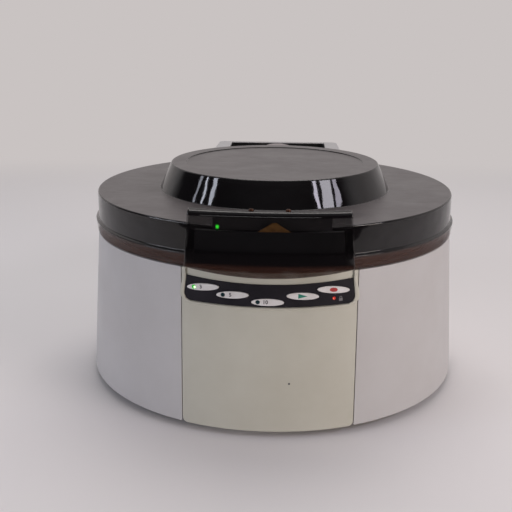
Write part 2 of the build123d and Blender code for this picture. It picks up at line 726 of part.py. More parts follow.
barrel = Pos(0, hinge_y, hinge_z) * Rot(0, 90, 0) * Cylinder(7, 2 * arm_half)
arm += barrel
arm -= Pos(0, hinge_y, hinge_z) * Rot(0, 90, 0) * Cylinder(pin_r + running, 60)
lid_screws = Part()
for x in (-9, 9):
    for y in (139.5, 145.5):
        arm -= rod(1.5, 160, 180, x, y)
        lid_screws += rod(2.8, arm_foot_top_z, arm_foot_top_z + 1.7, x, y)
        lid_screws += rod(1.5, lid_ring_z, arm_foot_top_z, x, y)
save("hinge_arm", arm)
for x in (-13.6, 13.6):
    lid_screws += rod(2.3, visor_top_z, visor_top_z + 1.9, x, -170.2)
save("lid_screws", lid_screws)
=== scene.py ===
import json
import math

import bmesh
import bpy
from mathutils import Matrix, Vector


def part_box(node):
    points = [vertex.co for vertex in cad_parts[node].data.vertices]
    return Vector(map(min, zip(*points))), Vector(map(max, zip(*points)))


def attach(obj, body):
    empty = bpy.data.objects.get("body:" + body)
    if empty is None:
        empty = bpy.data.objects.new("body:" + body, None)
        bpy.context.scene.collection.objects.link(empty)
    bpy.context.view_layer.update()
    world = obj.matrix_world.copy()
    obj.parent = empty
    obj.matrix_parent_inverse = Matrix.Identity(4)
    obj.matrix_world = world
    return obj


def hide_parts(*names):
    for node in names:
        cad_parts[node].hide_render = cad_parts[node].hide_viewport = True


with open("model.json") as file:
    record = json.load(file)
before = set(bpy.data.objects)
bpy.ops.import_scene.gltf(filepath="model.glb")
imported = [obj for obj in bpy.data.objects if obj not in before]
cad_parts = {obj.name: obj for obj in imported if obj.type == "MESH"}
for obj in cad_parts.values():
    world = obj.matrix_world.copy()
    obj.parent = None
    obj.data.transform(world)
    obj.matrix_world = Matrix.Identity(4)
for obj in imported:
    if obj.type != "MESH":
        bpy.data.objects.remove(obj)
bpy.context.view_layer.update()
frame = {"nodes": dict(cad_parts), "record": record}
nodes = frame["nodes"]
mm = 0.001
bowlLow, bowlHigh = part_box("bowl")
axisY = (bowlLow.y + bowlHigh.y) / 2 / mm  # the drum's axis stands in front of the middle of the whole depth
print("frame loaded,", len(nodes), "pieces")


def at(x, y, z):
    # a place in mm, measured from the drum's axis and the bench
    return Vector((x, y + axisY, z)) * mm


# settings that many nodes share
colourMix = {"data_type": "RGBA"}
numberMix = {"data_type": "FLOAT"}
eased = {"interpolation_type": "SMOOTHSTEP"}
times = {"operation": "MULTIPLY"}
timesPlus = {"operation": "MULTIPLY_ADD"}
larger = {"operation": "MAXIMUM"}


def linear(hexColour):
    values = [int(hexColour[i:i + 2], 16) / 255 for i in (1, 3, 5)]
    return [v / 12.92 if v <= 0.04045 else ((v + 0.055) / 1.055) ** 2.4 for v in values] + [1]


def addNode(tree, kind, settings=None, inputs=None):
    node = tree.nodes.new(kind)
    for key, value in (settings or {}).items():
        setattr(node, key, value)
    for key, value in (inputs or {}).items():
        if isinstance(value, bpy.types.NodeSocket):
            tree.links.new(value, node.inputs[key])
        else:
            node.inputs[key].default_value = value
    return node


def newFinish(name, uniform):
    # an empty finish: its tree, its shader and the object's own coordinates
    finish = bpy.data.materials.new(name)
    finish.use_nodes = True
    tree = finish.node_tree
    tree.nodes.clear()
    shader = addNode(tree, "ShaderNodeBsdfPrincipled", inputs=uniform)
    addNode(tree, "ShaderNodeOutputMaterial", inputs={"Surface": shader.outputs[0]})
    place = addNode(tree, "ShaderNodeTexCoord").outputs["Object"]
    return finish, tree, shader, place


# finishes. Grain, patch and depth are in mm; a noise keeps to the middle of its range, so each use stretches
# the part between these ends over the whole scale
noiseEnds = {"patch": (0.35, 0.7), "grain": (0.3, 0.72), "rough": (0.3, 0.7), "bloom": (0.35, 0.68),
             "scratch": (0.6, 0.74), "dust": (0.3, 0.75)}


def mouldedPlastic(name, look):
    # injection-moulded plastic: a spark-eroded grain breaks the highlight, and handling leaves duller patches
    finish, tree, shader, place = newFinish(name, {
        "IOR": 1.54,
        "Specular IOR Level": look.get("specular", 0.5),
        "Coat Weight": look.get("coat", 0.0),
        "Coat Roughness": 0.08,
    })
    grain = addNode(tree, "ShaderNodeTexNoise", inputs={
        "Vector": place, "Scale": 1 / (look["grain"] * mm), "Detail": 2.0, "Roughness": 0.55}).outputs["Fac"]
    patches = addNode(tree, "ShaderNodeTexNoise", inputs={
        "Vector": place, "Scale": 1 / (look["patch"] * mm), "Detail": 4.0, "Roughness": 0.6}).outputs["Fac"]
    low, high = noiseEnds["patch"]
    spread = addNode(tree, "ShaderNodeMapRange", inputs={0: patches, 1: low, 2: high}).outputs[0]
    colour = addNode(tree, "ShaderNodeMix", colourMix, {
        0: spread, 6: linear(look["colour"]), 7: linear(look["worn"])}).outputs[2]
    low, high = noiseEnds["grain"]
    speck = addNode(tree, "ShaderNodeMapRange", inputs={
        0: grain, 1: low, 2: high, 4: look.get("speck", 0.12)}).outputs[0]
    colour = addNode(tree, "ShaderNodeMix", colourMix, {
        0: speck, 6: colour, 7: linear(look["worn"])}).outputs[2]
    low, high = noiseEnds["rough"]
    rough = addNode(tree, "ShaderNodeMapRange", inputs={
        0: patches, 1: low, 2: high, 3: look["rough"][0], 4: look["rough"][1]}).outputs[0]
    bump = addNode(tree, "ShaderNodeBump", inputs={
        "Height": grain, "Distance": look["depth"] * mm, "Strength": 1.0})
    tree.links.new(colour, shader.inputs["Base Color"])
    tree.links.new(rough, shader.inputs["Roughness"])
    tree.links.new(bump.outputs[0], shader.inputs["Normal"])
    return finish


def workedMetal(name, look):
    # rolled, turned or cast metal: the lay of the working spreads the highlight across it
    finish, tree, shader, place = newFinish(name, {
        "Metallic": 1.0,
        "Anisotropic": look.get("anisotropic", 0.0),
    })
    lay = look.get("lay", (1.0, 1.0, 1.0))
    stretch = addNode(tree, "ShaderNodeMapping", inputs={"Vector": place, "Scale": lay}).outputs[0]
    working = addNode(tree, "ShaderNodeTexNoise", inputs={
        "Vector": stretch, "Scale": 1 / (look["grain"] * mm), "Detail": 3.0}).outputs["Fac"]
    bloom = addNode(tree, "ShaderNodeTexNoise", inputs={
        "Vector": place, "Scale": 1 / (look["patch"] * mm), "Detail": 3.0}).outputs["Fac"]
    low, high = noiseEnds["bloom"]
    spread = addNode(tree, "ShaderNodeMapRange", inputs={0: bloom, 1: low, 2: high}).outputs[0]
    colour = addNode(tree, "ShaderNodeMix", colourMix, {
        0: spread, 6: linear(look["colour"]), 7: linear(look["worn"])}).outputs[2]
    low, high = noiseEnds["rough"]
    rough = addNode(tree, "ShaderNodeMapRange", inputs={
        0: working, 1: low, 2: high, 3: look["rough"][0], 4: look["rough"][1]}).outputs[0]
    bump = addNode(tree, "ShaderNodeBump", inputs={
        "Height": working, "Distance": look["depth"] * mm, "Strength": 1.0})
    tree.links.new(colour, shader.inputs["Base Color"])
    tree.links.new(rough, shader.inputs["Roughness"])
    tree.links.new(bump.outputs[0], shader.inputs["Normal"])
    return finish


smokedLook = {
    "colour": "#0D0A0C",         # the body of the tint where the wall is thick
    "glow": "#4A2E24",           # the brown that a thin edge lets through, painted into the base colour as painted light
    "dust": "#8E8586",           # dry dust and fine scuffs on the level faces
    "seeThrough": 0.06,          # share of light through one face of the dome and ring
    "visorThrough": 0.66,        # through one face of the visor
    "blockThrough": 0.12,        # of the grip block below it
    "footThrough": 0.33,         # of the block's curved foot
    "skirtThrough": 0.6,         # of the skirt below the ledge
    "topThrough": 0.05,          # and of the block's top
    "footPaintedGlow": 0.5,             # the foot is thicker than the skirt, and keeps this share of the painted glow
    "polished": 0.05,            # roughness of the upright walls
    "scuffed": (0.3, 0.44),      # and of the level faces
    "scratched": 0.08,           # what a scratch adds to it
    "dusty": (0.29, 0.35),       # how much of the dust's colour the level faces take
    "dustHides": 0.6,            # how much less a dusty face lets through
    "shine": (0.5, 0.05),        # specular level of the lid, and of the block's top, which has gone dull
    "levelFrom": (0.93, 0.995),  # the upward share of the direction in which a level face looks
    "blockFrom": (163.8, 164.6),  # mm from the drum's axis, where the grip block begins
    "skirtFrom": (145.5, 142.5),  # mm above the bench, going down
    "visorFrom": (152.0, 155.5),
    "crownFrom": (180.6, 181.6),
    "smear": 38,                 # mm
    "scratchWidth": 0.5,         # mm; drawn four times as coarse, since a real one is too fine to show
    "scratchTurn": 24,           # degrees
    "scratchSquash": 0.07,       # squeezes the pattern along the scratches, which makes them long
    "ripple": 18,                # mm
    "rippleDepth": 0.3,          # mm
}


def smokedAcrylic(look):
    # smoked acrylic, polished in the mould: upright walls are near black mirrors, level ones dull with scuffs
    finish, tree, shader, place = newFinish("smokedAcrylic", {"IOR": 1.49})
    facing = addNode(tree, "ShaderNodeTexCoord").outputs["Normal"]
    upward = addNode(tree, "ShaderNodeSeparateXYZ", inputs={0: facing}).outputs[2]
    height = addNode(tree, "ShaderNodeSeparateXYZ", inputs={0: place}).outputs[2]
    flat = addNode(tree, "ShaderNodeMapping", inputs={
        "Vector": place, "Location": (0, -axisY * mm, 0), "Scale": (1, 1, 0)}).outputs[0]
    reach = addNode(tree, "ShaderNodeVectorMath", {"operation": "LENGTH"}, {0: flat}).outputs["Value"]
    zone = {}
    for part, measure in (("block", reach), ("skirt", height), ("visor", height), ("crown", height)):
        start, end = look[part + "From"]
        zone[part] = addNode(tree, "ShaderNodeMapRange", inputs={
            0: measure, 1: start * mm, 2: end * mm}).outputs[0]
    start, end = look["levelFrom"]
    level = addNode(tree, "ShaderNodeMapRange", eased, {0: upward, 1: start, 2: end}).outputs[0]
    blockTop = addNode(tree, "ShaderNodeMath", times, {0: level, 1: zone["block"]}).outputs[0]
    level = addNode(tree, "ShaderNodeMath", {"operation": "SUBTRACT"}, {0: level, 1: blockTop}).outputs[0]

    # level faces: smears of dust, and long fine scratches that all run one way
    smear = addNode(tree, "ShaderNodeTexNoise", inputs={
        "Vector": place, "Scale": 1 / (look["smear"] * mm), "Detail": 5.0, "Roughness": 0.62}).outputs["Fac"]
    streaks = addNode(tree, "ShaderNodeMapping", inputs={
        "Vector": place, "Rotation": (0, 0, math.radians(look["scratchTurn"])),
        "Scale": (look["scratchSquash"], 1.0, 1.0)}).outputs[0]
    scratches = addNode(tree, "ShaderNodeTexNoise", inputs={
        "Vector": streaks, "Scale": 1 / (4 * look["scratchWidth"] * mm), "Detail": 3.0}).outputs["Fac"]
    low, high = noiseEnds["scratch"]
    fine = addNode(tree, "ShaderNodeMapRange", inputs={0: scratches, 1: low, 2: high}).outputs[0]
    low, high = noiseEnds["rough"]
    duller = addNode(tree, "ShaderNodeMapRange", inputs={
        0: smear, 1: low, 2: high, 3: look["scuffed"][0], 4: look["scuffed"][1]}).outputs[0]
    duller = addNode(tree, "ShaderNodeMath", timesPlus, {0: fine, 1: look["scratched"], 2: duller}).outputs[0]
    rough = addNode(tree, "ShaderNodeMix", numberMix, {0: level, 2: look["polished"], 3: duller}).outputs[0]
    low, high = noiseEnds["dust"]
    dusty = addNode(tree, "ShaderNodeMapRange", inputs={
        0: smear, 1: low, 2: high, 3: look["dusty"][0], 4: look["dusty"][1]}).outputs[0]
    dusty = addNode(tree, "ShaderNodeMath", times, {0: dusty, 1: level}).outputs[0]

    # what one face lets through: the block with its visor and its top, the dome and ring, and the skirt below
    front = addNode(tree, "ShaderNodeMix", numberMix, {
        0: zone["visor"], 2: look["blockThrough"], 3: look["visorThrough"]}).outputs[0]
    front = addNode(tree, "ShaderNodeMix", numberMix, {
        0: zone["crown"], 2: front, 3: look["topThrough"]}).outputs[0]
    foot = addNode(tree, "ShaderNodeMix", numberMix, {
        0: zone["block"], 2: look["skirtThrough"], 3: look["footThrough"]}).outputs[0]
    through = addNode(tree, "ShaderNodeMix", numberMix, {
        0: zone["block"], 2: look["seeThrough"], 3: front}).outputs[0]
    through = addNode(tree, "ShaderNodeMix", numberMix, {0: zone["skirt"], 2: through, 3: foot}).outputs[0]
    through = addNode(tree, "ShaderNodeMath", timesPlus, {
        0: dusty, 1: -look["dustHides"], 2: through}).outputs[0]
    solid = addNode(tree, "ShaderNodeMath", {"operation": "SUBTRACT", "use_clamp": True}, {
        0: 1.0, 1: through}).outputs[0]

    # painted light: the skirt and the block's foot take the brown glow into their base colour, standing in for
    # light let through the thin plastic from behind
    glow = addNode(tree, "ShaderNodeMath", timesPlus, {
        0: zone["block"], 1: look["footPaintedGlow"] - 1, 2: 1.0}).outputs[0]
    glow = addNode(tree, "ShaderNodeMath", times, {0: zone["skirt"], 1: glow}).outputs[0]
    colour = addNode(tree, "ShaderNodeMix", colourMix, {
        0: glow, 6: linear(look["colour"]), 7: linear(look["glow"])}).outputs[2]
    colour = addNode(tree, "ShaderNodeMix", colourMix, {
        0: dusty, 6: colour, 7: linear(look["dust"])}).outputs[2]
    shine = addNode(tree, "ShaderNodeMapRange", inputs={
        0: blockTop, 3: look["shine"][0], 4: look["shine"][1]}).outputs[0]
    ripple = addNode(tree, "ShaderNodeTexNoise", inputs={
        "Vector": place, "Scale": 1 / (look["ripple"] * mm), "Detail": 1.0}).outputs["Fac"]
    bump = addNode(tree, "ShaderNodeBump", inputs={
        "Height": ripple, "Distance": look["rippleDepth"] * mm, "Strength": 1.0}).outputs[0]
    for socket, value in (("Base Color", colour), ("Roughness", rough), ("Specular IOR Level", shine),
                          ("Alpha", solid), ("Normal", bump)):
        tree.links.new(value, shader.inputs[socket])
    return finish


def lampLens(name, look, node):
    # clear-cast epoxy lens over a lamp: a bright core in its middle that falls off to the tinted rim
    finish, tree, shader, place = newFinish(name, {
        "IOR": 1.5,
        "Roughness": 0.12,
        "Emission Strength": look["strength"],
    })
    cellSize, cellReach = 0.7, 0.3  # mm; small cells make the core's edge uneven
    low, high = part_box(node)
    middle = (low + high) / 2
    across = addNode(tree, "ShaderNodeMapping", inputs={"Vector": place, "Scale": (1, 0, 1)}).outputs[0]
    away = addNode(tree, "ShaderNodeVectorMath", {"operation": "DISTANCE"}, {
        0: across, 1: (middle.x, 0, middle.z)}).outputs["Value"]
    cells = addNode(tree, "ShaderNodeTexVoronoi", inputs={"Vector": place, "Scale": 1 / (cellSize * mm)})
    uneven = addNode(tree, "ShaderNodeMath", timesPlus, {
        0: cells.outputs["Distance"], 1: cellReach * mm, 2: away}).outputs[0]
    soft = addNode(tree, "ShaderNodeMapRange", eased, {
        0: uneven, 1: look["coreSize"] * mm, 2: look["rimSize"] * mm}).outputs[0]
    colour = addNode(tree, "ShaderNodeMix", colourMix, {
        0: soft, 6: linear(look["core"]), 7: linear(look["rim"])}).outputs[2]
    tree.links.new(colour, shader.inputs["Base Color"])
    tree.links.new(colour, shader.inputs["Emission Color"])
    return finish


finishes = {
    # drum and hinge housing: off-white ABS, evenly grained, so its highlight is broad and soft
    "drum_plastic": mouldedPlastic("offWhiteAbs", {
        "colour": "#B6B4B5", "worn": "#AFACAC", "grain": 0.7, "patch": 90, "depth": 0.012,
        "rough": (0.4, 0.5)}),
    # front panel: the same plastic, gone warmer with light and a little smoother with wiping
    "panel_plastic": mouldedPlastic("agedFrontPanelAbs", {
        "colour": "#B9B7AC", "worn": "#B1AEA2", "grain": 0.7, "patch": 60, "depth": 0.012,
        "rough": (0.36, 0.46)}),
    # keypad overlay: screen-printed polyester film, whose fine emboss shows as pale specks in the black
    "keypad_film": mouldedPlastic("printedPolyesterFilm", {
        "colour": "#17151B", "worn": "#242127", "grain": 0.5, "patch": 18, "depth": 0.02,
        "rough": (0.5, 0.6), "speck": 0.3, "specular": 0.12}),
    # key caps: pale film over a moulded cap, a little glossier than the film round it
    "key_plastic": mouldedPlastic("paleKeyFilm", {
        "colour": "#D9D7D8", "worn": "#CBC7C5", "grain": 0.4, "patch": 9, "depth": 0.01,
        "rough": (0.3, 0.4), "coat": 0.2}),
    # latch housing, inlet, switch and motor cap: moulded nylon, near black with a dull sheen
    "black_plastic": mouldedPlastic("blackNylonMoulding", {
        "colour": "#0A090C", "worn": "#131116", "grain": 0.7, "patch": 22, "depth": 0.03,
        "rough": (0.38, 0.55), "specular": 0.3}),
    # deck and tube carriers: moulded polypropylene, waxy and without a clear highlight
    "grey_plastic": mouldedPlastic("greyDeckPolypropylene", {
        "colour": "#8F8E90", "worn": "#7E7C7B", "grain": 0.8, "patch": 35, "depth": 0.03,
        "rough": (0.45, 0.6)}),
    # hinge spacers: turned natural nylon, cream with a soft shine
    "nylon": mouldedPlastic("naturalNylon", {
        "colour": "#DAD3C2", "worn": "#C4BBA6", "grain": 0.6, "patch": 8, "depth": 0.015,
        "rough": (0.35, 0.5)}),
    # feet, gasket and isolators: moulded nitrile rubber, matt and a little chalky
    "rubber": mouldedPlastic("nitrileRubber", {
        "colour": "#19181A", "worn": "#2C2A2A", "grain": 0.6, "patch": 12, "depth": 0.05,
        "rough": (0.7, 0.85), "specular": 0.3}),
    # boards: glass-epoxy laminate under green solder mask, with a wet-looking coat
    "circuit_board": mouldedPlastic("solderMaskedGlassEpoxy", {
        "colour": "#1E5A38", "worn": "#174A2F", "grain": 1.2, "patch": 6, "depth": 0.02,
        "rough": (0.25, 0.4), "coat": 0.3}),
    # motor can: stoved enamel on steel, dark with a slight orange peel under its gloss
    "motor_paint": mouldedPlastic("stovedMotorEnamel", {
        "colour": "#2E3236", "worn": "#3C4044", "grain": 1.4, "patch": 20, "depth": 0.06,
        "rough": (0.3, 0.45), "coat": 0.3}),
    # hinge arm: pinkish grey powder coat, with a slight orange peel; its pale pink is also a painted
    # reflection of the pale backdrop on the arm's rounded crest
    "arm_paint": mouldedPlastic("pinkGreyCoatAndPaintedReflection", {
        "colour": "#86797A", "worn": "#776B6C", "grain": 1.1, "patch": 14, "depth": 0.05,
        "rough": (0.35, 0.5), "coat": 0.2}),
    # bowl, shaft and pin: spun and turned stainless; the lay runs round, so the highlight stretches upright
    "stainless": workedMetal("spunStainless", {
        "colour": "#B9B7B4", "worn": "#A29F9B", "lay": (0.3, 0.3, 3.0), "grain": 0.9, "patch": 30,
        "depth": 0.002, "rough": (0.27, 0.32), "anisotropic": 0.3}),
    # pan, guard ring, plates and screws: bright zinc plate on steel, with a soft bloom
    "zinc_steel": workedMetal("zincPlatedSteel", {
        "colour": "#A9AAAD", "worn": "#8E8F8F", "grain": 1.5, "patch": 12, "depth": 0.01,
        "rough": (0.3, 0.48)}),
    # rotor: die-cast aluminium, bead blasted: pale, even and soft in its highlight
    "cast_aluminium": workedMetal("beadBlastedAluminium", {
        "colour": "#C9C6C4", "worn": "#B5B1AE", "grain": 0.7, "patch": 18, "depth": 0.03,
        "rough": (0.42, 0.56)}),
    # bracket behind the visor: yellow-passivated steel, dull gold with brown clouds
    "yellow_steel": workedMetal("yellowPassivatedSteel", {
        "colour": "#B98A52", "worn": "#94693C", "grain": 1.2, "patch": 5, "depth": 0.01,
        "rough": (0.5, 0.65)}),
    # strip behind the visor: a matt charcoal sheet, with no highlight of its own; its grey, seen through the
    # visor, is painted light standing in for light let through the visor
    "charcoal_painted_light": mouldedPlastic("charcoalSheetPaintedLight", {
        "colour": "#2B282A", "worn": "#353133", "grain": 0.6, "patch": 12, "depth": 0.02,
        "rough": (0.5, 0.62), "specular": 0.3}),
    # the visor's small screws: steel left brown from oil blacking
    "brown_steel": workedMetal("oilBlackedSteel", {
        "colour": "#4A3026", "worn": "#2E2019", "grain": 0.8, "patch": 3, "depth": 0.01,
        "rough": (0.34, 0.5)}),
    "smoked_lid": smokedAcrylic(smokedLook),
    # lamps: cast epoxy lenses; core and rim sizes are in mm from the lens's middle
    "lamp_green": lampLens("litGreenLamp", {
        "core": "#D2FFC4", "rim": "#0F8A1E", "coreSize": 0.7, "rimSize": 1.5, "strength": 1.2}, "lamp_lit"),
    "status_green": lampLens("litStatusLamp", {
        "core": "#3CFF3A", "rim": "#031A05", "coreSize": 0.3, "rimSize": 2.2, "strength": 1.5},
        "status_lamp"),
    "lamp_smoke": lampLens("unlitLamp", {
        "core": "#0E2227", "rim": "#132F33", "coreSize": 0.6, "rimSize": 1.6, "strength": 0.0}, "lamps_dark"),
    "lamp_red": lampLens("litRedLamp", {
        "core": "#FF6A50", "rim": "#B02A20", "coreSize": 0.4, "rimSize": 1.3, "strength": 0.3}, "lamp_lock"),
}
print("finishes made,", len(finishes))


creaseAngle = 34   # degrees; edges sharper than this are softened, and stay creased in the shading
mergeReach = 0.002  # mm; corners nearer than this are one corner


def shadingGroups():
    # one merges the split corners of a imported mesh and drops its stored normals, for a bevel to work on; the
    # other shades smooth up to the crease
    weld = bpy.data.node_groups.new("mergedCorners", "GeometryNodeTree")
    smooth = bpy.data.node_groups.new("smoothUnderAngle", "GeometryNodeTree")
    for group in (weld, smooth):
        for side in ("INPUT", "OUTPUT"):
            group.interface.new_socket("Geometry", in_out=side, socket_type="NodeSocketGeometry")
    start = addNode(weld, "NodeGroupInput").outputs[0]
    merged = addNode(weld, "GeometryNodeMergeByDistance", inputs={
        "Geometry": start, "Distance": mergeReach * mm})
    bare = addNode(weld, "GeometryNodeRemoveAttribute", inputs={
        "Geometry": merged.outputs[0], "Name": "custom_normal"})
    addNode(weld, "NodeGroupOutput", inputs={0: bare.outputs[0]})
    start = addNode(smooth, "NodeGroupInput").outputs[0]
    angle = addNode(smooth, "GeometryNodeInputMeshEdgeAngle").outputs[0]
    sharp = addNode(smooth, "FunctionNodeCompare", {"data_type": "FLOAT", "operation": "GREATER_THAN"}, {
        0: angle, 1: math.radians(creaseAngle)}).outputs[0]
    faces = addNode(smooth, "GeometryNodeSetShadeSmooth", {"domain": "FACE"}, {
        "Geometry": start, "Shade Smooth": True})
    edges = addNode(smooth, "GeometryNodeSetShadeSmooth", {"domain": "EDGE"}, {
        "Geometry": faces.outputs[0], "Shade Smooth": True})
    creased = addNode(smooth, "GeometryNodeSetShadeSmooth", {"domain": "EDGE"}, {
        "Geometry": edges.outputs[0], "Selection": sharp, "Shade Smooth": False})
    addNode(smooth, "NodeGroupOutput", inputs={0: creased.outputs[0]})
    return weld, smooth


weldGroup, smoothGroup = shadingGroups()


def soften(piece, edge, steps=2, angle=creaseAngle, weld=False):
    # a small moulded or broken edge, then smooth shading up to a crease that keeps the broad faces flat
    if weld:
        piece.modifiers.new("merged", "NODES").node_group = weldGroup
    if edge:
        bevel = piece.modifiers.new("edge", "BEVEL")
        bevel.width = edge * mm
        bevel.segments = steps
        bevel.limit_method = "ANGLE"
        bevel.angle_limit = math.radians(angle)
        bevel.miter_outer = "MITER_ARC"
        bevel.use_clamp_overlap = True
    piece.modifiers.new("smooth", "NODES").node_group = smoothGroup
    even = piece.modifiers.new("evenNormals", "WEIGHTED_NORMAL")
    even.mode = "FACE_AREA_WITH_ANGLE"
    even.keep_sharp = True


def rounded(points, radii, steps=6):
    # a closed outline with some of its corners turned into arcs
    outline = []
    count = len(points)
    for i, point in enumerate(points):
        radius = radii.get(i, 0)
        here = Vector(point)
        if not radius:
            outline.append(here)
            continue
        before = (Vector(points[i - 1]) - here).normalized()
        after = (Vector(points[(i + 1) % count]) - here).normalized()
        half = before.angle(after) / 2
        reach = radius / math.tan(half)
        centre = here + (before + after).normalized() * (radius / math.sin(half))
        first = here + before * reach - centre
        last = here + after * reach - centre
        for k in range(steps + 1):
            outline.append(centre + first.slerp(last, k / steps).normalized() * radius)
    return outline


def meshFrom(name, verts, faces):
    mesh = bpy.data.meshes.new(name)
    mesh.from_pydata([tuple(v) for v in verts], [], faces)
    shape = bmesh.new()
    shape.from_mesh(mesh)
    bmesh.ops.recalc_face_normals(shape, faces=shape.faces)
    shape.to_mesh(mesh)
    shape.free()
    return mesh


def pieceFrom(name, mesh):
    piece = bpy.data.objects.new(name, mesh)
    bpy.context.scene.collection.objects.link(piece)
    return piece


def turned(name, outline, columns):
    # a closed body turned about the drum's axis from (radius, height) points in mm
    verts, faces, rings = [], [], []
    for radius, height in outline:
        if radius < 0.001:
            verts.append(at(0, 0, height))
            rings.append([len(verts) - 1] * columns)
            continue
        rings.append([len(verts) + c for c in range(columns)])
        for c in range(columns):
            turn = 2 * math.pi * c / columns
            verts.append(at(radius * math.cos(turn), radius * math.sin(turn), height))
    for i, ring in enumerate(rings):
        other = rings[(i + 1) % len(rings)]
        for c in range(columns):
            d = (c + 1) % columns
            corners = [ring[c], ring[d], other[d], other[c]]
            face = [v for k, v in enumerate(corners) if v != corners[k - 1]]
            if len(face) > 2:
                faces.append(face)
    return pieceFrom(name, meshFrom(name, verts, faces))


def cappedFaces(size, count, first=0):
    # the faces of a closed body through matching outlines, size corners in each, capped at both ends
    last = first + (count - 1) * size
    faces = [list(range(first, first + size)), list(range(last, last + size))]
    for start in range(first, last, size):
        for k in range(size):
            m = (k + 1) % size
            faces.append([start + k, start + m, start + size + m, start + size + k])
    return faces


def swept(name, sections):
    verts = [v for section in sections for v in section]
    return pieceFrom(name, meshFrom(name, verts, cappedFaces(len(sections[0]), len(sections))))


def blockBetween(name, low, high):
    # a plain block between two corners in mm, to cut with or to soften
    (x0, y0, z0), (x1, y1, z1) = low, high
    return swept(name, [[at(x, y, z) for y, z in ((y0, z0), (y1, z0), (y1, z1), (y0, z1))] for x in (x0, x1)])


def baked(piece):
    # the piece's modifiers become its mesh
    graph = bpy.context.evaluated_depsgraph_get()
    mesh = bpy.data.meshes.new_from_object(piece.evaluated_get(graph))
    piece.modifiers.clear()
    piece.data = mesh


def carve(piece, tool, operation="DIFFERENCE"):
    baked(tool)
    cut = piece.modifiers.new("carve", "BOOLEAN")
    cut.object = tool
    cut.operation = operation
    cut.solver = "EXACT"
    baked(piece)
    bpy.data.objects.remove(tool)


def finishPiece(piece, body, slot, edge=0.0, replaced=(), finish=None):
    piece.data.materials.clear()
    piece.data.materials.append(finish or finishes[slot])
    soften(piece, edge)
    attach(piece, body)
    if replaced:
        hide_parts(*replaced)


def bow(x, half, middle, side):
    # an arc through (0, middle) and (half, side)
    sag = side - middle
    radius = (half * half + sag * sag) / (2 * sag)
    return middle + radius - math.copysign(math.sqrt(radius * radius - x * x), radius)


# the lid: one smoked moulding with a skirt, a ledge, a raised dome and a grip block with a hollow visor

lidSize = {
    "columns": 224,
    "skirtFoot": 134.8,
    "skirtIn": 158.9,
    "skirtOut": 162.3,
    "ledge": 163.5,
    "ledgeHeight": 145.0,
    "ring": 161.0,
    "ringHeight": 169.7,
    "domeFoot": 105.0,
    "domeRim": 94.5,
    "domeTop": 192.4,
    "recess": 81.0,
    "recessDepth": 0.8,
    "wall": 3.5,
    "ribIn": 146.5,           # the rib that comes down to the gasket
    "ribOut": 148.8,
    "ribFoot": 137.8,
}
gripSize = {
    "columns": 44,
    "sideHeight": 141.6,      # where the curved lower edge meets the sides
    "top": 185.0,
    "halfLow": 63.7,
    "halfTop": 60.5,
    "front": -177.98,         # the bowed front, at its middle and at its sides
    "frontSide": -171.9,
    "back": -168.0,
    "backSide": -158.9,
    "bowHalf": 65.7,
    "inside": 160.4,          # radius of the block's back, just inside the lid's ring
    "wall": 1.3,
    "edge": 1.0,
    "crown": 3.6,             # the visor's top edge is rounded over, front and back
    "hollowFoot": 120.0,      # the hollow is cut from well below
    "windowHalf": 57.4,       # the lid's own wall is open behind the grip, for the latch housing
    "windowFoot": 144,
    "windowTop": 166.2,
}
stripSize = {"low": (-42, -169.9, 170.2), "high": (46, -169.5, 180.4), "edge": 0.1}


def lidOutline(size):
    # (radius, height) points from the skirt's foot up over the dome to the axis, and back along the inside
    ring, ledge, wall = size["ring"], size["ledge"], size["wall"]
    top, ledgeHeight = size["ringHeight"], size["ledgeHeight"]
    recess = size["domeTop"] - size["recessDepth"]
    points = [
        (size["skirtIn"], size["skirtFoot"]),
        (size["skirtOut"], size["skirtFoot"]),
        (ledge, ledgeHeight - 1.2),       # the ledge's rim, and its slope in to the ring's wall
        (ledge, ledgeHeight + 0.6),
        (ring + 0.3, ledgeHeight + 1.8),
        (ring, top),
        (size["domeFoot"], top),
        (size["domeRim"], size["domeTop"]),
        (size["recess"], size["domeTop"]),
        (size["recess"] - 0.5, recess),   # a slanted step down into the recess
        (0, recess),
        (0, recess - wall),               # from here on the inside, thinner on the dome's slope
        (size["domeRim"] - 2, recess - wall),
        (size["domeFoot"] - 2.3, top - wall),
        (size["ribIn"], top - wall),
        (size["ribIn"], size["ribFoot"]),
        (size["ribOut"], size["ribFoot"]),
        (size["ribOut"], top - wall),
        (ring - wall, top - wall),
        (ring - wall + 0.2, ledgeHeight + 3),
        (ledge - wall, ledgeHeight),
        (ledge - wall, ledgeHeight - 2),
    ]
    radii = {0: 0.4, 1: 0.6, 2: 0.5, 3: 0.6, 4: 0.8, 5: 1.3, 6: 1.0, 7: 1.8, 8: 0.4, 9: 0.4, 12: 2.0, 13: 2.0}
    return rounded(points, radii)


